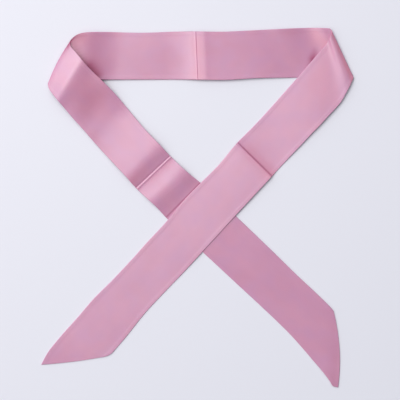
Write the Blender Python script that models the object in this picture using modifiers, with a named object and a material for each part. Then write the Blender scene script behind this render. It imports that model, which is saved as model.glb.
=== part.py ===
# Skinny scarf of pink satin, laid out flat as a crossed loop.
# The real one is a single strip sewn into a flat tube and pressed, so its two layers are one wall here.
# Metres, +Z up. The origin is on the surface that it lies on, under the middle of its outline.
# +Y points from the tips to the neck band, and +X to the scarf's right as seen from above.

import bpy
import numpy as np

MM = 0.001
WALL = 1.2 * MM  # both layers of satin, with the air between them
SEAM_GAP = 0.35 * MM  # along the strip, between one stretch and the next
ACROSS_STEPS = 6
OUTLINE_MIDDLE = (0.4, 0.2, 0.0)  # in the sections' x, y and z, in mm: the origin goes below it

# Heights of the wall's middle, in mm: on the surface, and over one layer of the scarf
ON_FLOOR = WALL / 2 / MM
LAYER_GAP = 0.35
ON_CLOTH = ON_FLOOR + WALL / MM + LAYER_GAP

SATIN_PINK = (0.62, 0.31, 0.44, 1.0)
SATIN_ROUGHNESS = 0.42

# A section is a line across the strip, from its upper edge to its lower edge, in mm. The upper
# edge is the neck band's top one, which runs on as each tail's inner edge. The lower edge is the
# neck band's bottom one, which runs on as each tail's outer edge.
# bow is how far the section's middle lies to the left of the straight line between its ends, seen
# from the lower end, and steps how many strips of faces lead to it from the section before.
COLUMNS = ("upper_x", "upper_y", "upper_z", "lower_x", "lower_y", "lower_z", "bow", "steps")

LEFT_JOINT = (-102.7, 184.8, 3.14, -121.6, 134.8, 4.3, 0, 1)
RIGHT_JOINT = (103.9, 188.9, 1.61, 121.9, 137.4, ON_FLOOR, 0, 1)
NECK_BAND = (
    LEFT_JOINT,
    (-95.1, 184.9, 1.91, -111.0, 135.0, 3.6, 0, 5),
    (-86.6, 184.8, 1.11, -99.7, 135.1, 2.6, 0, 2),
    (-77.0, 184.5, 0.7, -87.4, 135.2, 1.6, 0, 2),
    (-64.7, 184.3, ON_FLOOR, -71.8, 135.3, 0.8, 0, 3),
    (-46.8, 184.5, ON_FLOOR, -49.7, 135.3, ON_FLOOR, 0, 4),
    (-20.3, 185.5, ON_FLOOR, -18.3, 135.3, ON_FLOOR, 0, 5),
    # the crease pressed across its middle
    (-13.6, 185.6, 0.74, -11.0, 135.3, 0.72, 0, 2),
    (-9.7, 185.6, 0.96, -6.9, 135.3, 0.93, 0, 1),
    (-5.3, 185.6, 1.47, -2.3, 135.2, 1.44, 0, 3),
    (-2.3, 185.5, 2.02, 0.9, 135.1, 2.01, 0, 2),
    (-0.8, 185.5, 2.32, 2.4, 135.1, 2.32, 0, 1),
    (0.7, 185.5, 1.75, 3.9, 135.1, 1.73, 0, 1),
    (3.0, 185.5, 1.47, 6.4, 135.1, 1.46, 0, 2),
    (9.9, 185.4, 1.23, 13.5, 135.0, 1.21, 0, 4),
    (21.7, 185.3, 0.78, 25.7, 134.8, 0.77, 0, 2),
    (44.4, 186.1, 0.68, 48.9, 136.0, 1.2, 0, 4),
    (67.9, 187.3, 0.9, 75.2, 137.0, 1.8, 0, 5),
    (78.4, 187.7, 1.17, 88.7, 137.2, 1.47, 0, 2),
    (85.1, 188.0, 1.62, 98.0, 137.3, 0.81, 0, 2),
    (92.0, 188.3, 2.27, 107.1, 137.4, ON_FLOOR, 0, 2),
    (99.0, 188.6, 2.17, 116.1, 137.4, ON_FLOOR, 0, 2),
    RIGHT_JOINT,
)
LEFT_TAIL = (
    LEFT_JOINT,
    (-108.1, 184.6, 4.4, -129.6, 134.8, 4.49, 0, 4),
    (-112.9, 184.3, 5.37, -136.6, 134.7, 4.5, 0, 3),
    (-119.2, 183.6, 5.8, -144.3, 134.5, 4.4, 0.3, 4),
    # the roll at the left corner
    (-124.8, 182.1, 6.04, -150.5, 134.0, 4.32, 0.5, 3),
    (-129.82, 177.12, 6.3, -154.12, 131.93, 4.4, 0.6, 1),
    (-131.28, 176.08, 6.59, -155.37, 131.09, 4.66, 0.6, 1),
    (-132.25, 175.1, 7.18, -156.19, 130.28, 5.18, 0.6, 1),
    (-132.89, 173.9, 7.92, -156.72, 129.28, 5.82, 0.6, 1),
    (-133.17, 172.55, 8.51, -156.94, 128.14, 6.34, 0.6, 1),
    (-133.21, 170.76, 8.8, -156.94, 126.64, 6.6, 0.6, 1),
    (-130.2, 166.3, 10.11, -153.3, 121.9, 7.37, 0.6, 2),
    (-126.3, 162.2, 11.05, -150.4, 118.2, 8.12, 0.6, 3),
    (-121.9, 156.6, 11.49, -147.2, 114.4, 8.45, 0.6, 3),
    (-116.8, 150.6, 10.57, -143.6, 110.0, 7.49, 0.4, 4),
    (-112.5, 145.8, 8.85, -140.3, 106.2, 6.01, 0.1, 3),
    (-106.7, 140.0, 7.67, -135.7, 100.5, 4.17, 0, 4),
    (-100.9, 134.6, 6.73, -130.8, 94.6, 2.71, 0, 4),
    (-95.0, 128.8, 5.33, -125.8, 89.1, 1.85, 0, 4),
    (-89.2, 122.8, 3.3, -120.9, 83.8, 1.37, 0, 4),
    (-83.4, 116.4, 1.7, -116.2, 78.5, 1.13, 0, 4),
    (-76.2, 107.8, 0.92, -110.5, 71.8, 1.2, 0, 5),
    (-65.5, 94.9, 1.33, -100.3, 60.4, 1.94, 0, 3),
    (-53.2, 80.5, 2.54, -87.3, 46.4, 2.79, 0, 4),
    (-40.5, 67.4, 3.59, -75.1, 33.3, 3.39, 0, 3),
    # the crease pressed across the left tail
    (-35.7, 62.2, 3.41, -70.6, 28.2, 3.08, 0, 4),
    (-32.7, 58.9, 2.17, -67.7, 24.8, 2.2, 0, 3),
    (-30.8, 56.8, 1.13, -65.8, 22.6, 1.01, 0, 2),
    (-29.8, 55.8, 0.93, -64.7, 21.5, 0.81, 0, 1),
    (-28.5, 54.5, 0.98, -63.2, 19.9, 0.84, 0, 1),
    (-24.7, 50.8, 1.1, -58.3, 15.2, 1.71, 0, 3),
    (-19.2, 45.7, 1.82, -52.0, 9.4, 3.06, 0, 2),
    (-13.7, 40.5, 2.6, -47.2, 5.2, 2.97, 0, 2),
    (-8.6, 36.0, 2.4, -43.4, 1.6, 2.06, 0, 1),
    (-3.1, 31.6, 1.37, -38.7, -3.4, 1.2, 0, 2),
    (1.4, 28.0, 0.74, -34.5, -8.1, 0.71, 0, 1),
    (5.1, 24.9, ON_FLOOR, -30.9, -11.8, ON_FLOOR, 0, 1),
    # flat under the other tail, and on to the slanted tip
    (40.2, -8.3, ON_FLOOR, 5.6, -46.0, ON_FLOOR, 0, 9),
    (78.3, -44.8, ON_FLOOR, 42.7, -80.4, ON_FLOOR, 0, 9),
    (104.8, -70.7, ON_FLOOR, 69.2, -105.1, 0.66, 0, 7),
    (123.2, -87.9, ON_FLOOR, 97.8, -132.8, 0.69, -1.0, 6),
    (133.8, -98.1, 0.77, 121.3, -159.6, 0.82, -2.2, 5),
    (140.3, -104.7, 0.87, 138.2, -181.6, 0.87, -3.2, 4),
    (143.3, -108.3, 0.75, 147.3, -189.1, 0.75, -3.9, 2),
)
RIGHT_TAIL = (
    RIGHT_JOINT,
    (114.2, 189.3, 0.94, 132.9, 137.4, ON_FLOOR, 0, 2),
    (121.7, 189.3, 1.9, 141.3, 137.4, 0.71, 0, 2),
    (128.3, 188.9, 3.29, 150.5, 137.4, 1, 0, 4),
    (133.6, 188.6, 3.99, 157.1, 137.5, 1.2, 0, 3),
    # the fold at the right corner
    (137.6, 188.0, 4.0, 161.0, 137.9, 1.37, 0, 3),
    (139.9, 187.11, 3.95, 162.81, 137.86, 1.37, 0, 1),
    (140.67, 186.69, 4.14, 163.52, 137.55, 1.56, 0, 1),
    (141.14, 186.26, 4.52, 163.95, 137.23, 1.94, 0, 1),
    (141.4, 185.71, 4.98, 164.16, 136.78, 2.4, 0, 1),
    (141.42, 185.07, 5.36, 164.13, 136.24, 2.78, 0, 1),
    (141.25, 184.21, 5.55, 163.91, 135.5, 2.97, 0, 1),
    (139.6, 180.5, 6.19, 160.8, 130.0, 4.3, 0, 2),
    (138.6, 178.1, 6.48, 158.8, 126.0, 5.28, 0, 2),
    (137.6, 175.8, 6.09, 156.8, 122.0, 5.37, 0, 2),
    (136.1, 172.9, 5.23, 153.6, 116.5, 4.62, 0, 3),
    (132.6, 168.6, 4.71, 147.8, 108.1, 3.61, 0, 4),
    (125.2, 160.1, 4.71, 139.4, 98.7, 3, 0, 6),
    (113.4, 146.3, 5.19, 131.5, 90.1, 2.5, 0, 3),
    (95.7, 126.1, 4.89, 122.5, 80.7, 1.9, 0, 4),
    (78.8, 107.1, 3.3, 112.9, 70.3, 1.3, 0, 4),
    (64.9, 92.0, 1.8, 99.7, 56.5, 1, 0, 4),
    (54.6, 81.2, 1.42, 89.3, 45.5, 1.12, 0, 3),
    (47.9, 74.6, 2.13, 83.4, 39.0, 1.99, 0, 5),
    # the crease pressed across the right tail
    (44.3, 70.9, 2.9, 80.1, 35.4, 2.81, 0, 3),
    (42.5, 69.0, 3.78, 78.4, 33.6, 3.6, 0, 2),
    (41.4, 67.9, 3.78, 77.4, 32.6, 3.93, 0, 1),
    (40.1, 66.4, 3.51, 76.1, 31.1, 3.57, 0, 1),
    (36.8, 62.5, 3.64, 72.8, 27.5, 3.71, 0, 3),
    (30.4, 54.5, 3.69, 66.2, 20.4, 3.7, 0, 5),
    (17.1, 39.6, 3.1, 52.7, 5.9, 3.1, 0, 4),
    (8.7, 31.3, 2.5, 44.5, -3.0, 2.5, 0, 2),
    (1.0, 23.7, 2.19, 36.9, -11.3, 2.19, 0, 2),
    # over the other tail, and on to the slanted tip
    (-14.3, 7.8, ON_CLOTH, 21.5, -28.1, ON_CLOTH, 0, 4),
    (-33.1, -15.1, ON_CLOTH, 3.1, -48.2, ON_CLOTH, 0, 5),
    (-40.3, -23.0, 1.6, -4.5, -56.6, 1.6, 0, 2),
    (-48.7, -31.8, 0.95, -13.9, -66.8, 0.95, 0, 3),
    (-59.9, -44.1, ON_FLOOR, -25.9, -79.4, ON_FLOOR, 0, 3),
    (-89.9, -76.5, ON_FLOOR, -55.9, -111.3, ON_FLOOR, 0, 8),
    (-109.1, -95.5, ON_FLOOR, -73.4, -133.3, 0.66, 0, 5),
    (-126.3, -115.5, ON_FLOOR, -85.0, -147.0, 0.72, 0, 4),
    (-145.4, -137.1, 0.89, -91.1, -153.4, 0.89, 0.4, 4),
    (-157.4, -152.4, 0.83, -95.7, -155.8, 0.83, 0.8, 3),
    (-164.0, -164.6, 0.75, -98.9, -156.5, 0.75, 1.0, 2),
)


def slopes(places, values):
    """The slope at each place of a smooth curve through the values that overshoots none of them."""
    steps = np.diff(places)
    rises = np.diff(values) / steps
    before, after = rises[:-1], rises[1:]
    turning = before * after <= 0
    safe_before = np.where(turning, 1.0, before)
    safe_after = np.where(turning, 1.0, after)
    weight_before = 2 * steps[1:] + steps[:-1]
    weight_after = steps[1:] + 2 * steps[:-1]
    mean = (weight_before + weight_after) / (weight_before / safe_before + weight_after / safe_after)
    inner = np.where(turning, 0.0, mean)
    return np.concatenate([rises[:1], inner, rises[-1:]])


def smooth(places, values, wanted):
    """The values read at the wanted places, from cubic pieces that share those slopes."""
    slope = slopes(places, values)
    piece = np.clip(np.searchsorted(places, wanted, side="right") - 1, 0, len(places) - 2)
    width = places[piece + 1] - places[piece]
    t = (wanted - places[piece]) / width
    start, end = values[piece], values[piece + 1]
    bend = (1 + 2 * t) * (1 - t) ** 2 * start + t**2 * (3 - 2 * t) * end
    return bend + width * (t * (1 - t) ** 2 * slope[piece] - t**2 * (1 - t) * slope[piece + 1])


def stretch_points(sections):
    """Points of the wall's middle, along the strip and across it, on a smooth run through the sections."""
    table = {name: np.array(column, float) for name, column in zip(COLUMNS, zip(*sections))}
    upper = np.stack([table["upper_x"], table["upper_y"], table["upper_z"]], axis=1)
    lower = np.stack([table["lower_x"], table["lower_y"], table["lower_z"]], axis=1)
    middle = (upper + lower) / 2
    places = np.concatenate([[0], np.cumsum(np.linalg.norm(np.diff(middle, axis=0), axis=1))])
    counts = table["steps"].astype(int)[1:]
    runs = [np.linspace(a, b, n, endpoint=False) for a, b, n in zip(places, places[1:], counts)]
    wanted = np.concatenate(runs + [places[-1:]])
    upper = np.stack([smooth(places, upper[:, i], wanted) for i in range(3)], axis=1)
    lower = np.stack([smooth(places, lower[:, i], wanted) for i in range(3)], axis=1)
    bow = smooth(places, table["bow"], wanted)
    line = (upper - lower)[:, :2]
    left = np.stack([-line[:, 1], line[:, 0], np.zeros(len(line))], axis=1)
    left /= np.linalg.norm(left, axis=1, keepdims=True)
    across = np.linspace(0, 1, ACROSS_STEPS + 1)[None, :, None]
    points = upper[:, None] * (1 - across) + lower[:, None] * across
    points += 4 * across * (1 - across) * (bow[:, None] * left)[:, None]
    return (points - OUTLINE_MIDDLE) * MM


def quads(rows, columns):
    """Faces between neighbouring points of a grid."""
    first = np.arange(rows * columns).reshape(rows, columns)
    corners = (first[:-1, :-1], first[1:, :-1], first[1:, 1:], first[:-1, 1:])
    return np.stack(corners, axis=-1).reshape(-1, 4)


def satin_material():
    """Pink satin, smooth and softly shining."""
    material = bpy.data.materials.new("pink_satin")
    material.use_nodes = True
    shader = material.node_tree.nodes["Principled BSDF"]
    shader.inputs["Base Color"].default_value = SATIN_PINK
    shader.inputs["Roughness"].default_value = SATIN_ROUGHNESS
    shader.inputs["Metallic"].default_value = 0.0
    return material


def cloth_stretch(name, points, material, collection):
    """One stretch of the scarf: an open surface through the points, given its wall by Solidify."""
    rows, columns = points.shape[:2]
    mesh = bpy.data.meshes.new(name)
    mesh.from_pydata(points.reshape(-1, 3).tolist(), [], quads(rows, columns).tolist())
    mesh.materials.append(material)
    mesh.update()
    mesh.shade_smooth()
    mesh.set_sharp_from_angle(angle=np.radians(50))
    stretch = bpy.data.objects.new(name, mesh)
    collection.objects.link(stretch)
    wall = stretch.modifiers.new("wall", "SOLIDIFY")
    wall.thickness = WALL
    wall.offset = 0.0
    wall.use_even_offset = True
    return stretch


def build():
    for old in list(bpy.data.objects):
        bpy.data.objects.remove(old)
    collection = bpy.data.collections.new("skinny_scarf")
    bpy.context.scene.collection.children.link(collection)
    satin = satin_material()

    band = stretch_points(NECK_BAND)
    band[0, :, 0] += SEAM_GAP
    band[-1, :, 0] -= SEAM_GAP
    cloth_stretch("neck_band", band, satin, collection)
    cloth_stretch("left_tail", stretch_points(LEFT_TAIL), satin, collection)
    cloth_stretch("right_tail", stretch_points(RIGHT_TAIL), satin, collection)


build()
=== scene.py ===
"""Skinny scarf of pink satin, laid out flat as a crossed loop and seen from straight above."""

import bpy
import numpy as np
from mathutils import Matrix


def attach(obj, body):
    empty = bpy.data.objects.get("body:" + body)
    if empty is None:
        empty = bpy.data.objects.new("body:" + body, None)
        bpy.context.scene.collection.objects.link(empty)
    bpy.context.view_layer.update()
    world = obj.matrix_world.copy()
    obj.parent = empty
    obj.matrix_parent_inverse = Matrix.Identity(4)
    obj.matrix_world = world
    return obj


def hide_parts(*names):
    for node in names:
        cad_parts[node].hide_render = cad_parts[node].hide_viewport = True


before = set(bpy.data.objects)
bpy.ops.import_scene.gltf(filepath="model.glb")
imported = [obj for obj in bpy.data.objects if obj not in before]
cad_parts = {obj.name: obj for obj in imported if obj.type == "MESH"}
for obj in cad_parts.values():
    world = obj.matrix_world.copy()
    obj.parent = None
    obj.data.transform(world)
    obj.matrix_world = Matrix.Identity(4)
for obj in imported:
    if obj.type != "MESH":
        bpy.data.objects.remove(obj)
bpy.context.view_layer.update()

# How the strip lies
# The scarf is one long strip. It lies on the table in a loop: a soft roll at the left corner, a
# pressed fold at the right one, and its two tails crossed. Each row below is a line across it.
MM = 0.001

# place, then x and y in mm of the upper edge and of the lower edge, bow, and how much the run is
# softened there, in mm. The upper edge is the neck band's top one, which runs on as each tail's
# inner edge. bow is how far the line's middle lies to the left of the straight line between its
# ends, seen from the lower end.
LAY_COLUMNS = ("place", "upper_x", "upper_y", "lower_x", "lower_y", "bow", "soften")
LAY = (
    ("left tip", 143.4, -108.4, 148.2, -188.6, -3.9, 0.4),
    ("", 142.6, -107.4, 142.8, -187.2, -3.8, 0.5),
    ("", 140.4, -104.8, 139.3, -181.6, -3.2, 1.5),
    ("", 133.9, -98.2, 121.4, -159.6, -2.2, 2.5),
    ("", 123.3, -88.0, 97.8, -132.8, -1.0, 3.5),
    ("", 104.9, -70.8, 69.2, -105.1, 0, 3.5),
    ("", 78.3, -44.8, 42.7, -80.5, 0, 3.5),
    ("", 40.2, -8.3, 5.6, -46.0, 0, 3.5),
    ("under the crossing", 3.4, 26.4, -32.6, -10.2, 0, 3.5),
    ("", -8.4, 35.8, -43.4, 1.6, 0, 3.5),
    ("", -18.5, 45.0, -51.1, 8.5, 0, 3.5),
    ("left quarter crease", -28.6, 54.6, -64.4, 21.1, 0, 1.5),
    ("", -40.7, 67.7, -75.4, 33.5, 0, 3.5),
    ("", -54.3, 81.7, -88.5, 47.5, 0, 3.5),
    ("", -73.0, 104.0, -107.9, 68.7, 0, 3.5),
    ("", -87.4, 121.0, -119.4, 82.1, 0, 3.5),
    ("", -100.4, 134.2, -130.1, 93.7, 0, 3.0),
    ("", -112.2, 145.6, -140.2, 105.7, 0, 3.0),
    ("", -121.0, 155.4, -146.8, 113.3, 1.0, 3.0),
    ("", -128.6, 165.0, -152.2, 120.0, 1.2, 2.0),
    ("", -133.2, 170.2, -156.0, 125.4, 1.6, 1.2),
    ("left roll", -133.6, 174.8, -157.2, 130.2, 1.8, 0.8),
    ("", -129.8, 180.4, -155.0, 133.4, 1.4, 1.2),
    ("", -123.5, 183.8, -149.0, 134.8, 0.8, 2.0),
    ("", -114.0, 185.1, -138.0, 135.2, 0, 3.0),
    ("", -103.0, 185.3, -122.0, 135.3, 0, 3.5),
    ("", -60.0, 184.3, -66.0, 135.4, 0, 3.5),
    ("", -20.0, 185.6, -18.0, 135.4, 0, 3.5),
    ("middle crease", -1.3, 185.8, 0.9, 135.3, 0, 2.0),
    ("", 22.0, 185.4, 26.0, 134.9, 0, 3.5),
    ("", 62.0, 187.1, 68.0, 137.1, 0, 3.5),
    ("", 104.0, 189.1, 122.0, 137.5, 0, 3.5),
    ("", 121.6, 189.6, 141.0, 137.5, 0, 2.0),
    ("", 133.4, 189.3, 156.6, 137.6, 0, 0.5),
    ("", 139.6, 188.8, 161.9, 138.1, 0, 0.4),
    ("", 140.9, 187.5, 163.6, 138.0, 0, 0.4),
    ("right fold", 141.5, 186.0, 164.3, 137.3, 0, 0.4),
    ("", 141.2, 184.2, 163.2, 134.6, 0, 0.4),
    ("", 139.4, 179.2, 159.7, 126.9, 0, 0.6),
    ("", 136.8, 173.8, 154.4, 117.2, 0, 1.2),
    ("", 134.9, 171.2, 151.9, 112.6, 0, 0.8),
    ("", 132.4, 168.4, 147.6, 107.4, 0, 1.5),
    ("", 123.6, 158.4, 137.8, 96.9, 0, 3.5),
    ("", 107.8, 139.8, 128.6, 86.8, 0, 3.5),
    ("", 92.9, 123.0, 121.1, 79.2, 0, 3.5),
    ("", 78.6, 106.9, 112.8, 70.2, 0, 3.5),
    ("", 57.2, 83.9, 91.7, 48.1, 0, 3.5),
    ("right quarter crease", 41.9, 68.5, 78.0, 33.0, 0, 2.0),
    ("", 22.1, 44.7, 57.7, 11.1, 0, 3.5),
    ("", 8.6, 31.3, 44.5, -3.1, 0, 3.5),
    ("over the crossing", -14.4, 7.8, 21.5, -28.2, 0, 3.5),
    ("", -35.1, -17.4, 1.2, -50.4, 0, 3.5),
    ("", -51.8, -35.0, -17.3, -70.5, 0, 3.5),
    ("", -64.6, -49.4, -30.8, -84.4, 0, 3.5),
    ("", -90.2, -76.8, -56.1, -111.6, 0, 3.5),
    ("", -109.2, -95.6, -73.5, -133.5, 0, 3.5),
    ("", -126.3, -115.6, -85.2, -147.2, 0, 3.0),
    ("", -145.6, -137.3, -91.2, -153.6, 0.4, 2.0),
    ("", -157.6, -152.6, -95.8, -155.9, 0.8, 1.0),
    ("right tip", -164.2, -164.8, -99.0, -156.6, 1.0, 1.0),
)

# How high it stands, in mm above lying flat, at places along the strip from its left tip: at its
# upper edge, its middle and its lower edge. It springs up at the roll, the fold and the creases.
LIFT_COLUMNS = ("along", "upper", "middle", "lower")
LIFT = (
    (0, 0.15, 0.25, 0.2),
    (6, 0.25, 0.3, 0.9),
    (12, 0.30, 0.35, 1.1),
    (22, 0.2, 0.2, 0.5),
    (32, 0.1, 0.1, 0.1),
    (60, 0, 0, 0),
    (224, 0, 0, 0),
    (235, 1.5, 1.6, 1.3),
    (240, 2.7, 2.7, 2.2),
    (245, 3.2, 3.3, 3.0),
    (250, 2.85, 3.0, 3.1),
    (256, 2.05, 2.15, 2.4),
    (263, 1.4, 1.45, 1.5),
    (266, 1.3, 1.3, 1.25),
    (269, 1.6, 1.6, 1.65),
    (272, 2.2, 2.25, 2.45),
    (276, 3.15, 3.25, 3.65),
    (279, 3.85, 3.95, 4.3),
    (281.5, 4.2, 4.35, 4.6),
    (285, 4.3, 4.4, 4.55),
    (290, 4.0, 4.05, 4.2),
    (295, 3.6, 3.65, 3.8),
    (305, 2.75, 2.8, 3.0),
    (317, 1.85, 1.85, 2.15),
    (325, 1.4, 1.35, 1.85),
    (332, 1.15, 1.05, 1.75),
    (338, 1.4, 1.0, 1.95),
    (345, 2.6, 1.4, 2.4),
    (352, 4.2, 1.9, 2.6),
    (360, 6.1, 3.1, 3.1),
    (366, 7.4, 4.6, 3.6),
    (374, 8.6, 6.9, 4.4),
    (379, 9.0, 8.2, 4.9),
    (384, 9.6, 9.4, 5.5),
    (388, 10.4, 10.4, 6.2),
    (392, 11.3, 11.4, 7.0),
    (396, 12.3, 12.2, 7.9),
    (399, 12.7, 12.4, 8.1),
    (403, 12.0, 11.6, 7.7),
    (408, 10.9, 10.4, 7.0),
    (413, 9.8, 9.2, 6.2),
    (417, 9.0, 8.2, 5.6),
    (419, 8.4, 7.6, 5.1),
    (421, 7.7, 6.8, 4.6),
    (423, 7.4, 6.2, 4.2),
    (427, 7.2, 6.1, 4.3),
    (436, 6.8, 6.3, 5.0),
    (443, 6.3, 6.4, 5.9),
    (449, 5.7, 6.2, 6.3),
    (456, 4.7, 5.4, 6.0),
    (465, 3.4, 3.9, 4.4),
    (475, 2.3, 2.6, 2.9),
    (486, 1.8, 1.8, 1.5),
    (500, 1.6, 1.6, 1.1),
    (515, 1.4, 1.4, 0.8),
    (529, 1.1, 1.1, 0.6),
    (538, 0.95, 0.9, 0.45),
    (552, 1.1, 1.05, 0.65),
    (563, 1.4, 1.4, 1.15),
    (575, 1.9, 2.1, 1.9),
    (600, 2.5, 2.8, 2.6),
    (620, 2.3, 2.5, 2.6),
    (640, 1.9, 1.8, 1.9),
    (648, 2.0, 1.3, 1.5),
    (656, 2.4, 0.9, 1.0),
    (662, 2.6, 0.8, 0.5),
    (668, 2.5, 0.7, 0.2),
    (676, 1.9, 0.5, 0.1),
    (684, 1.0, 0.2, 0.05),
    (692, 0.4, 0.05, 0.05),
    (700, 1.1, 0.5, 0.1),
    (708, 2.3, 1.3, 0.4),
    (714, 2.8, 1.7, 0.5),
    (720, 2.8, 1.7, 0.8),
    (721.8, 3.1, 2.1, 1.2),
    (724.2, 3.8, 3.0, 1.9),
    (728, 4.6, 4.0, 2.8),
    (731.5, 4.7, 4.2, 3.0),
    (735, 3.8, 3.7, 3.0),
    (740, 2.8, 2.8, 2.7),
    (748, 2.6, 2.4, 2.4),
    (760, 2.2, 2.3, 2.6),
    (775, 1.7, 2.1, 2.6),
    (795, 0.8, 1.6, 2.3),
    (815, 0.3, 1.0, 1.7),
    (835, 0.1, 0.5, 1.2),
    (850, 0.1, 0.15, 0.3),
    (858, 0.2, 0.2, 0.1),
    (868, 0.9, 1.1, 1.1),
    (876, 1.3, 1.8, 1.7),
    (885, 1.3, 2.1, 2.1),
    (905, 1.1, 1.8, 1.9),
    (925, 1.1, 1.4, 1.5),
    (940, 1.1, 1.1, 1.1),
    (978, 1.1, 1.1, 1.1),
    (1000, 0.7, 0.6, 0.4),
    (1020, 0.5, 0.3, 0),
    (1060, 0.6, 0.3, 0),
    (1110, 0.4, 0.2, 0.1),
    (1135, 0.3, 0.35, 0.3),
    (1152.8, 0.15, 0.2, 0.15),
)

FINE_STEP = 0.5  # mm along the strip, for the run's own points
EVEN_BLURS = (0.4, 1.0, 2.0, 3.5)  # mm
MOST_LIFT_BLUR = 2.0  # mm


def slopes(places, values):
    """Slope at each place: the weighted harmonic mean of the rises beside it, and 0 where they turn."""
    steps = np.diff(places)
    rises = np.diff(values) / steps
    before, after = rises[:-1], rises[1:]
    turning = before * after <= 0
    safe_before = np.where(turning, 1.0, before)
    safe_after = np.where(turning, 1.0, after)
    weight_before = 2 * steps[1:] + steps[:-1]
    weight_after = steps[1:] + 2 * steps[:-1]
    mean = (weight_before + weight_after) / (weight_before / safe_before + weight_after / safe_after)
    return np.concatenate([rises[:1], np.where(turning, 0.0, mean), rises[-1:]])


def smooth(places, values, wanted):
    """Cubic between neighbouring places, with those slopes, and level with the end values outside."""
    wanted = np.clip(wanted, places[0], places[-1])
    slope = slopes(places, values)
    piece = np.clip(np.searchsorted(places, wanted, side="right") - 1, 0, len(places) - 2)
    width = places[piece + 1] - places[piece]
    t = (wanted - places[piece]) / width
    start, end = values[piece], values[piece + 1]
    bend = (1 + 2 * t) * (1 - t) ** 2 * start + t**2 * (3 - 2 * t) * end
    return bend + width * (t * (1 - t) ** 2 * slope[piece] - t**2 * (1 - t) * slope[piece + 1])


def blurred(values, width):
    """Mean along the run, weighted by a bell of that width in mm, the run turned over past its ends."""
    reach = int(np.ceil(3 * width / FINE_STEP))
    bell = np.exp(-0.5 * (np.arange(-reach, reach + 1) * FINE_STEP / width) ** 2)
    before = 2 * values[:1] - values[1 : reach + 1][::-1]
    after = 2 * values[-1:] - values[-reach - 1 : -1][::-1]
    return np.convolve(np.concatenate([before, values, after]), bell / bell.sum(), mode="valid")


def softened(values, widths):
    """The values blurred by a width that changes along the run: a mix of the even blurs beside it."""
    layers = np.stack([blurred(values, width) for width in EVEN_BLURS])
    level = np.interp(widths, EVEN_BLURS, np.arange(len(EVEN_BLURS)))
    low = np.minimum(level.astype(int), len(EVEN_BLURS) - 2)
    share = level - low
    run = np.arange(len(values))
    return layers[low, run] * (1 - share) + layers[low + 1, run] * share


lay = {name: np.array(column) for name, column in zip(LAY_COLUMNS, zip(*LAY))}
upper_rows = np.stack([lay["upper_x"], lay["upper_y"]], axis=1)
lower_rows = np.stack([lay["lower_x"], lay["lower_y"]], axis=1)
row_steps = np.linalg.norm(np.diff((upper_rows + lower_rows) / 2, axis=0), axis=1)
row_along = np.concatenate([[0], np.cumsum(row_steps)])
strip_length = row_along[-1]
along_of = dict(zip(lay["place"], row_along))

fine_along = np.arange(0, strip_length + FINE_STEP / 2, FINE_STEP)
soften = np.interp(fine_along, row_along, lay["soften"])
upper_run, lower_run = (
    np.stack([softened(smooth(row_along, rows[:, i], fine_along), soften) for i in range(2)], axis=1)
    for rows in (upper_rows, lower_rows)
)
bow_run = softened(smooth(row_along, lay["bow"], fine_along), soften)
lift = dict(zip(LIFT_COLUMNS, np.array(LIFT, float).T))
upper_lift, middle_lift, lower_lift = (
    softened(smooth(lift["along"], lift[edge], fine_along), np.minimum(soften, MOST_LIFT_BLUR))
    for edge in ("upper", "middle", "lower")
)


def edge_lengths(run, height):
    """Length along one edge at each point of the run, measured from the middle crease."""
    run = np.column_stack([run, height])
    lengths = np.concatenate([[0], np.cumsum(np.linalg.norm(np.diff(run, axis=0), axis=1))])
    return lengths - np.interp(along_of["middle crease"], fine_along, lengths)


upper_length, lower_length = edge_lengths(upper_run, upper_lift), edge_lengths(lower_run, lower_lift)

# The strip's middle sheet
# The strip is 50 mm wide and its two layers lie pressed on each other. Lines across it stand closer
# together at the creases, the fold, the roll, the crossing and the ends, and lines along it stand
# closer together at the two pressed edges, where the seam allowances lie inside.
STRIP_WIDTH = 50.0
HALF_THICKNESS = 0.42
TABLE_GAP = 0.03
EDGE_ROLL = 0.16  # how far the pressed edges roll out past the lines of the run
# place, closest spacing, how far it holds to either side, and over what length it then fades, in mm
SPACING = (
    ("left tip", 0.12, 2.0, 22.0),
    ("under the crossing", 0.3, 2.0, 12.0),
    ("left quarter crease", 0.3, 3.0, 14.0),
    ("left roll", 0.9, 22.0, 30.0),
    ("middle crease", 0.3, 3.5, 14.0),
    ("right fold", 0.3, 3.0, 16.0),
    ("right quarter crease", 0.3, 3.0, 14.0),
    ("right tip", 0.12, 2.0, 22.0),
)
WIDEST_SPACING = 3.0
EDGE_STEPS = (0.0, 0.05, 0.18, 0.42, 0.9, 1.8, 2.8, 3.4, 3.9, 4.4, 5.2, 6.6, 8.6)  # mm in from an edge
MIDDLE_COLUMNS = 9

wanted_spacing = np.full(len(fine_along), WIDEST_SPACING)
for place, closest, near, fade_length in SPACING:
    away = np.abs(fine_along - along_of[place])
    fade = np.clip((away - near) / fade_length, 0, 1)
    wanted_spacing = np.minimum(wanted_spacing, closest + (WIDEST_SPACING - closest) * fade)
crowding = np.concatenate([[0], np.cumsum(FINE_STEP / wanted_spacing[1:])])
row_count = int(np.ceil(crowding[-1])) + 1
along = np.interp(np.linspace(0, crowding[-1], row_count), crowding, fine_along)

half_width = STRIP_WIDTH / 2
edge_in = np.array(EDGE_STEPS)
middle_in = np.linspace(edge_in[-1], half_width, MIDDLE_COLUMNS // 2 + 2)[1:]
inwards = np.concatenate([edge_in, middle_in])
across = np.concatenate([-1 + inwards / half_width, (1 - inwards / half_width)[::-1][1:]])
from_edge = half_width * (1 - np.abs(across))


def on_run(run):
    """The run read at the chosen places along the strip."""
    if run.ndim == 1:
        return np.interp(along, fine_along, run)
    return np.stack([np.interp(along, fine_along, run[:, i]) for i in range(run.shape[1])], axis=1)


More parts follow.
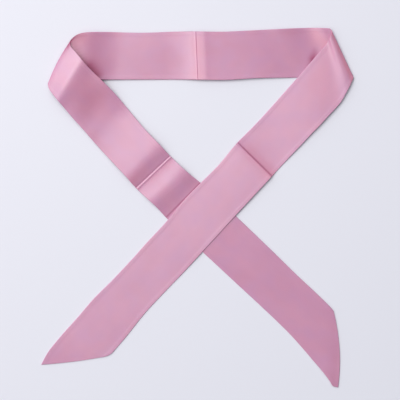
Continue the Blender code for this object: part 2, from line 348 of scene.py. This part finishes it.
upper, lower, bow = on_run(upper_run), on_run(lower_run), on_run(bow_run)
share_up = ((1 + across * (1 + EDGE_ROLL / half_width)) / 2)[None, :, None]
plan = lower[:, None] * (1 - share_up) + upper[:, None] * share_up
reach_up = upper - lower
turned_left = np.stack([-reach_up[:, 1], reach_up[:, 0]], axis=1)
turned_left /= np.linalg.norm(turned_left, axis=1, keepdims=True)
plan += 4 * share_up * (1 - share_up) * (bow[:, None] * turned_left)[:, None]

# Across the strip the height is a parabola through its heights at the two edges and in the middle
share_up = share_up[..., 0]
height = HALF_THICKNESS + TABLE_GAP + on_run(lower_lift)[:, None] * (1 - share_up) * (1 - 2 * share_up)
height = height + on_run(middle_lift)[:, None] * 4 * share_up * (1 - share_up)
height = height + on_run(upper_lift)[:, None] * share_up * (2 * share_up - 1)
middle_sheet = np.concatenate([plan, height[..., None]], axis=2)

strip_u = on_run(lower_length)[:, None] * (1 - share_up) + on_run(upper_length)[:, None] * share_up
strip_v = np.broadcast_to(across * half_width, strip_u.shape)

# Creases
# The scarf was folded small in its packet, so pressed creases cross it at its middle and at both
# quarters. Each has a profile of (distance along the strip, height) in mm, from left tip to right.
MIDDLE_CREASE = (
    (-24, 0), (-16, 0.15), (-10, 0.4), (-5, 0.75), (-1.6, 1.0), (-0.9, 1.25),
    (0, 0.95), (0.7, 1.0), (3.2, 1.05), (8, 1.1), (13, 0.75), (21, 0.3), (32, 0),
)
LEFT_QUARTER_CREASE = ((-6, 0), (-2.8, 0), (-1.3, 0.3), (0.2, -0.16), (0.9, -0.08), (2.2, 0.1), (6, 0))
RIGHT_QUARTER_CREASE = (
    (-10, 0), (-4, 0.1), (-1.5, 0.25), (-0.7, 0.5), (0.1, 1.5), (0.7, 1.45), (1.5, 1.0), (6, 0.7), (16, 0),
)
CREASE_ROUNDING = 0.35  # mm to either side


def crease_height(place, profile):
    """Height of a crease at each line across: the mean of its profile there and a little to both sides."""
    points = np.array(profile, float)
    offsets = np.array((-1, 0, 1)) * CREASE_ROUNDING
    away = along[:, None] - along_of[place]
    return sum(smooth(points[:, 0], points[:, 1], away + offset) for offset in offsets) / len(offsets)


relief = crease_height("middle crease", MIDDLE_CREASE)
relief = relief + crease_height("left quarter crease", LEFT_QUARTER_CREASE)
relief = relief + crease_height("right quarter crease", RIGHT_QUARTER_CREASE)
middle_sheet[..., 2] += relief

# The satin tube
# The strip is a tube of thin satin sewn along one edge, turned right side out and pressed flat: two
# layers, puffed a little between the edges, with the seam allowance as a faint ridge inside each edge.
EDGE_RADIUS = 0.34
BLUNT_END = 0.1  # share of that radius that the two ends start with
PRESSED_HALF = 0.34
PUFF_START = 2.0  # mm in from an edge
PUFF_SPAN = 12.0
ALLOWANCE_WIDTH = 4.2
ALLOWANCE_SPAN = 0.9
ALLOWANCE_LIFT = 0.10
SATIN_THICKNESS = 0.16
OUTLINE_MIDDLE = (0.4, 0.2)  # in the rows' x and y, in mm: the origin lies below it
VIEW_CENTRE = (2.8, 8.5)
CAMERA_HEIGHT = 1200.0

along_tangent = np.gradient(middle_sheet, axis=0)
across_tangent = np.gradient(middle_sheet, axis=1)
sheet_normal = np.cross(along_tangent, across_tangent)
sheet_normal /= np.linalg.norm(sheet_normal, axis=2, keepdims=True)

# Half its thickness: pressed half, puff and ridge together, rounded off as a quarter circle at the
# two edges and at the two ends
puff = np.clip((from_edge - PUFF_START) / PUFF_SPAN, 0, 1)
puff = puff**2 * (3 - 2 * puff)
rounding = np.sqrt(1 - (1 - np.clip(from_edge / EDGE_RADIUS, 0, 1)) ** 2)
allowance = np.clip((ALLOWANCE_WIDTH - from_edge) / ALLOWANCE_SPAN, 0, 1)
half_across = (PRESSED_HALF + (HALF_THICKNESS - PRESSED_HALF) * puff + ALLOWANCE_LIFT * allowance) * rounding
from_end = np.minimum(along - along[0], along[-1] - along)
end_rounding = np.sqrt(1 - (1 - np.clip(BLUNT_END + from_end / EDGE_RADIUS, 0, 1)) ** 2)
half = end_rounding[:, None] * half_across[None, :]

face = middle_sheet + sheet_normal * half[..., None]
back = middle_sheet - sheet_normal * half[..., None]
ring = np.concatenate([face, back[:, -2:0:-1]], axis=1)

# The rows were read off the photograph, where what stands higher looks further out from its middle,
# so each point moves in by its height's share of the camera's
nearer = 1 - ring[..., 2:] / CAMERA_HEIGHT
ring[..., :2] = VIEW_CENTRE + (ring[..., :2] - VIEW_CENTRE) * nearer - OUTLINE_MIDDLE


def tube_faces(rows, face_columns):
    """Faces of a tube of that many rings, whose first face_columns points are the strip's face.

    A quad joins two neighbours on a ring to the same two on the next, and both ends are zipped shut.
    """
    around = 2 * face_columns - 2
    index = np.arange(rows * around).reshape(rows, around)
    beside = np.roll(index, -1, axis=1)
    sides = np.stack([index[:-1], index[1:], beside[1:], beside[:-1]], axis=-1).reshape(-1, 4)
    over = np.arange(1, face_columns - 2)
    under = around - over
    start = np.stack([index[0, over], index[0, over + 1], index[0, under - 1], index[0, under]], axis=-1)
    end = np.stack([index[-1, over], index[-1, under], index[-1, under - 1], index[-1, over + 1]], axis=-1)
    corners = []
    for row, turn in ((0, -1), (-1, 1)):
        first = [index[row, 0], index[row, around - 1], index[row, 1]]
        last = [index[row, face_columns - 1], index[row, face_columns - 2], index[row, face_columns]]
        corners += [first[::turn], last[::turn]]
    return sides, np.concatenate([start, end]), corners


sides, ends, corners = tube_faces(row_count, len(across))
faces = sides.tolist() + ends.tolist() + [[int(i) for i in corner] for corner in corners]
tube = bpy.data.meshes.new("satin_scarf")
tube.from_pydata((ring.reshape(-1, 3) * MM).tolist(), [], faces)

ring_u = np.concatenate([strip_u, strip_u[:, -2:0:-1]], axis=1).ravel() * MM
ring_v = np.concatenate([strip_v, strip_v[:, -2:0:-1]], axis=1).ravel() * MM
loop_vertices = np.empty(len(tube.loops), np.int32)
tube.loops.foreach_get("vertex_index", loop_vertices)

# Painted shade: deep in the mouth of a fold or a crease, where light reaches the cloth only through
# other cloth, along the creases, at the crossing's edge and faintly in the neck band's shallow dents,
# the pink is painted deep and dark. Painted glow: where two layers face each other, and along pressed
# creases, a salmon tone is painted in for light that passes through the cloth. Each patch lies round a
# short line: its start and its end, both along the strip and across it, its reach to either side, in
# mm, and its strength at start and end.
PAINTED_SHADE_PLACES = (
    (380, 25.6, 430, 25.6, 0.7, 0.4, 1.0),
    (420, 24, 458, -13, 2.2, 0.6, 0.8),
    (458, -12, 468, -21, 4.0, 1.0, 1.0),
    (426, 23, 440, 14, 7.0, 0.8, 0.3),
    (867.1, -25, 867.1, 25, 0.7, 0.35, 0.35),
    (225.1, -25, 225.1, 25, 0.6, 0.6, 0.6),
    (446, 5, 466, -14, 9.0, 0.15, 0.35),
    (455, 15, 459, 15, 8.0, 0.12, 0.12),
    (682, -14, 688, -7, 2.2, 0.3, 0.9),
    (688, -7, 694, 2, 2.2, 0.9, 0.3),
    (486, 6, 534, -2, 16.0, 0.12, 0.07),
    (540, 6, 548, -6, 5.0, 0.09, 0.09),
    (610, 4, 690, 10, 16.0, 0.02, 0.08),
)
# Painted glow: patches where a salmon tone is painted in for light that passes through the cloth
PAINTED_GLOW_PLACES = (
    (432, 19, 436, 15, 6.0, 0.4, 0.4),
    (702, 16, 708, 10, 6.0, 0.5, 0.5),
    (724.5, -25, 724.5, 25, 2.0, 0.5, 0.5),
    (368, 4, 378, 10, 13.0, 0.3, 0.3),
    (752, 8, 764, 4, 12.0, 0.25, 0.25),
    (570, -20, 570, 15, 5.0, 0.35, 0.35),
    (867, -22, 867, 8, 7.0, 0.3, 0.2),
    (264, -10, 264, 20, 3.5, 0.2, 0.3),
    (278, -22, 278, -10, 5.0, 0.3, 0.1),
)
along_middle = np.repeat(along[:, None], len(across), axis=1)


def patch_strength(places):
    """Strength at each point of the rings: 1 less the product of what the patches leave.

    Each leaves 1 less its own strength times a bell of the distance to its line.
    """
    strength = np.zeros(strip_v.shape)
    for start_u, start_v, end_u, end_v, reach, at_start, at_end in places:
        run_u, run_v = end_u - start_u, end_v - start_v
        share = ((along_middle - start_u) * run_u + (strip_v - start_v) * run_v) / (run_u**2 + run_v**2)
        share = np.clip(share, 0, 1)
        away = np.hypot(along_middle - start_u - share * run_u, strip_v - start_v - share * run_v)
        patch = (at_start + (at_end - at_start) * share) * np.exp(-0.5 * (away / reach) ** 2)
        strength = 1 - (1 - strength) * (1 - patch)
    return np.concatenate([strength, strength[:, -2:0:-1]], axis=1).ravel().astype(np.float32)


# The painted shade and painted glow patches are stored on the tube's points
for attribute, places in (("painted_shade", PAINTED_SHADE_PLACES), ("painted_glow", PAINTED_GLOW_PLACES)):
    tube.attributes.new(attribute, "FLOAT", "POINT").data.foreach_set("value", patch_strength(places))
strip_map = tube.uv_layers.new(name="strip")
strip_map.data.foreach_set("uv", np.stack([ring_u, ring_v], axis=1)[loop_vertices].astype(np.float32).ravel())
tube.polygons.foreach_set("use_smooth", np.ones(len(tube.polygons), bool))
tube.update()
scarf = bpy.data.objects.new("satin_scarf", tube)
bpy.context.scene.collection.objects.link(scarf)
satin_wall = scarf.modifiers.new("satin_wall", "SOLIDIFY")
satin_wall.thickness = SATIN_THICKNESS * MM
satin_wall.offset = -1.0

# Satin
# Polyester satin: smooth floats of bright pink thread along the strip, so the sheen is drawn out
# across it, over a finer crosswise thread. Its pink wavers a little, with a hint of lilac.
SATIN_BASE = (0.625, 0.262, 0.405, 1.0)
SATIN_DUSKY = (0.57, 0.224, 0.358, 1.0)
SATIN_LILAC = (0.55, 0.25, 0.44, 1.0)
# the painted glow tone, and the painted shade tone below it
SATIN_GLOW_PAINT = (0.72, 0.22, 0.30, 1.0)
SATIN_SHADE_PAINT = (0.32, 0.0, 0.09, 1.0)
SATIN_FINISH = (
    ("Roughness", 0.41),
    ("IOR", 1.62),
    ("Specular IOR Level", 1.0),
    ("Anisotropic", 0.7),
    ("Anisotropic Rotation", 0.25),
    ("Subsurface Weight", 0.2),
    ("Subsurface Radius", (0.8, 0.35, 0.55)),
    ("Subsurface Scale", 0.0008),
    ("Sheen Weight", 0.08),
    ("Sheen Roughness", 0.4),
    ("Sheen Tint", (1.0, 0.72, 0.85, 1.0)),
)
# streaks for each metre along the strip and across it, and their detail
DUSKY_STREAKS = (22.0, 30.0, 2.0)
LILAC_STREAKS = (48.0, 60.0, 1.0)
THREAD_STREAKS = (90.0, 2400.0, 1.0)
# the noise's values where the mix starts and where it is full, and how full that is
DUSKY_TO_BASE = (0.2, 0.6, 1.0)
BASE_TO_LILAC = (0.35, 0.7, 0.45)
THREAD_BUMP = 0.12
THREAD_DEPTH = 0.0001
MIX_FROM, MIX_TO, MIX_RESULT = 6, 7, 2  # the sockets of a mix node that hold colours


def satin_material():
    """Pinks mixed by faint streaks and by the painted shade and painted glow patches, with a bump of threads
    and faint slubs.
    """
    material = bpy.data.materials.new("pink_satin")
    material.use_nodes = True
    nodes, links = material.node_tree.nodes, material.node_tree.links
    shader = nodes["Principled BSDF"]
    for quality, value in SATIN_FINISH:
        shader.inputs[quality].default_value = value
    strip = nodes.new("ShaderNodeUVMap")
    strip.uv_map = "strip"
    tangent = nodes.new("ShaderNodeTangent")
    tangent.direction_type = "UV_MAP"
    tangent.uv_map = "strip"
    links.new(tangent.outputs["Tangent"], shader.inputs["Tangent"])

    def streaks(times_along, times_across, detail):
        """Noise on the strip's own map, drawn out along it."""
        place = nodes.new("ShaderNodeMapping")
        place.inputs["Scale"].default_value = (times_along, times_across, 1.0)
        noise = nodes.new("ShaderNodeTexNoise")
        noise.inputs["Scale"].default_value = 1.0
        noise.inputs["Detail"].default_value = detail
        links.new(strip.outputs["UV"], place.inputs["Vector"])
        links.new(place.outputs["Vector"], noise.inputs["Vector"])
        return noise.outputs["Fac"]

    def share_of(value, start, full, most):
        """0 up to start, rising evenly to most at full."""
        share = nodes.new("ShaderNodeMapRange")
        share.inputs["From Min"].default_value = start
        share.inputs["From Max"].default_value = full
        share.inputs["To Max"].default_value = most
        links.new(value, share.inputs["Value"])
        return share.outputs["Result"]

    def toned(colour, tone, share):
        """The colour, a node's or a plain one, mixed with that share of the tone."""
        mix = nodes.new("ShaderNodeMix")
        mix.data_type = "RGBA"
        mix.inputs[MIX_TO].default_value = tone
        if isinstance(colour, tuple):
            mix.inputs[MIX_FROM].default_value = colour
        else:
            links.new(colour, mix.inputs[MIX_FROM])
        links.new(share, mix.inputs["Factor"])
        return mix.outputs[MIX_RESULT]

    colour = toned(SATIN_DUSKY, SATIN_BASE, share_of(streaks(*DUSKY_STREAKS), *DUSKY_TO_BASE))
    colour = toned(colour, SATIN_LILAC, share_of(streaks(*LILAC_STREAKS), *BASE_TO_LILAC))
    # Mix in the painted glow and then the painted shade
    for attribute, tone in (("painted_glow", SATIN_GLOW_PAINT), ("painted_shade", SATIN_SHADE_PAINT)):
        patch = nodes.new("ShaderNodeAttribute")
        patch.attribute_name = attribute
        colour = toned(colour, tone, patch.outputs["Fac"])
    links.new(colour, shader.inputs["Base Color"])
    bump = nodes.new("ShaderNodeBump")
    bump.inputs["Strength"].default_value = THREAD_BUMP
    bump.inputs["Distance"].default_value = THREAD_DEPTH
    links.new(streaks(*THREAD_STREAKS), bump.inputs["Height"])
    links.new(bump.outputs["Normal"], shader.inputs["Normal"])
    return material


tube.materials.append(satin_material())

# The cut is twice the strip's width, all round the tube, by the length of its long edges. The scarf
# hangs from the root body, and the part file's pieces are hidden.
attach(scarf, "root")
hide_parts("neck_band", "left_tail", "right_tail")

# The table
# The scarf lies on a smooth matt table top, white with a faint lilac cast. It is one flat sheet, far
# wider than any view of the scarf.
TABLE_SIDE = 14.0
TABLE_SQUARES = 8
TABLE_COLOUR = (0.80, 0.798, 0.856, 1.0)
TABLE_ROUGHNESS = 0.75
bpy.ops.mesh.primitive_grid_add(x_subdivisions=TABLE_SQUARES, y_subdivisions=TABLE_SQUARES, size=TABLE_SIDE)
table = bpy.context.object
table.name = "table_top"
table_paint = bpy.data.materials.new("pale_table")
table_paint.use_nodes = True
paint = table_paint.node_tree.nodes["Principled BSDF"]
paint.inputs["Base Color"].default_value = TABLE_COLOUR
paint.inputs["Roughness"].default_value = TABLE_ROUGHNESS
table.data.materials.append(table_paint)

# The window
# A broad square of soft light, as a window gives it. It stands high at the upper left and faces the
# middle of the loop.
WINDOW_PLACE = (-0.64, 0.60, 1.42)
WINDOW_SIDE = 1.1
WINDOW_POWER = 14.0
WINDOW_COLOUR = (1.0, 0.98, 0.97)
PANE_TOP = (0.0, 1.0, 0.01)  # the way that its upper edge lies, nearly +Y
pane = bpy.data.lights.new("window", "AREA")
pane.shape = "SQUARE"
pane.size = WINDOW_SIDE
pane.energy = WINDOW_POWER
pane.color = WINDOW_COLOUR
window = bpy.data.objects.new("window", pane)
bpy.context.scene.collection.objects.link(window)
outwards = np.array(WINDOW_PLACE) / np.linalg.norm(WINDOW_PLACE)
sideways = np.cross(PANE_TOP, outwards)
sideways /= np.linalg.norm(sideways)
turn = np.eye(4)
turn[:3, :] = np.stack([sideways, np.cross(outwards, sideways), outwards, WINDOW_PLACE], axis=1)
window.matrix_world = turn.T.tolist()

# The room
# Pale walls all round give the satin its soft shades. They are brightest high at the left and fade
# evenly to the dim side, low at the right.
ROOM_COLOUR = (0.93, 0.95, 1.0, 1.0)
BRIGHT_SIDE = (-0.63, 0.37, 0.68)
DIMMEST, BRIGHTEST = 0.14, 1.16
DIM_AT, BRIGHT_AT = -0.1, 1.08  # how far towards the bright side, from -1 to 1
world = bpy.data.worlds.new("room")
world.use_nodes = True
room, room_links = world.node_tree.nodes, world.node_tree.links
direction = room.new("ShaderNodeTexCoord")
towards = room.new("ShaderNodeVectorMath")
towards.operation = "DOT_PRODUCT"
towards.inputs[1].default_value = BRIGHT_SIDE
fading = room.new("ShaderNodeMapRange")
fading.interpolation_type = "SMOOTHSTEP"
fading.inputs["From Min"].default_value = DIM_AT
fading.inputs["From Max"].default_value = BRIGHT_AT
fading.inputs["To Min"].default_value = DIMMEST
fading.inputs["To Max"].default_value = BRIGHTEST
room["Background"].inputs["Color"].default_value = ROOM_COLOUR
room_links.new(direction.outputs["Generated"], towards.inputs[0])
room_links.new(towards.outputs["Value"], fading.inputs["Value"])
room_links.new(fading.outputs["Result"], room["Background"].inputs["Strength"])
bpy.context.scene.world = world
bpy.context.scene.view_settings.view_transform = "Standard"

# The camera
# It looks straight down on the loop from high up, so that the strip keeps its width all over the
# picture.
VIEW_WIDTH = 421.0  # mm that the picture shows across, at the table
SENSOR = 36.0
FARTHEST = 10.0
lens = bpy.data.cameras.new("camera")
lens.sensor_width = SENSOR
lens.lens = SENSOR * CAMERA_HEIGHT / VIEW_WIDTH
lens.clip_end = FARTHEST
camera = bpy.data.objects.new("camera", lens)
camera.location = (*(np.subtract(VIEW_CENTRE, OUTLINE_MIDDLE) * MM), CAMERA_HEIGHT * MM)
bpy.context.scene.collection.objects.link(camera)
bpy.context.scene.camera = camera
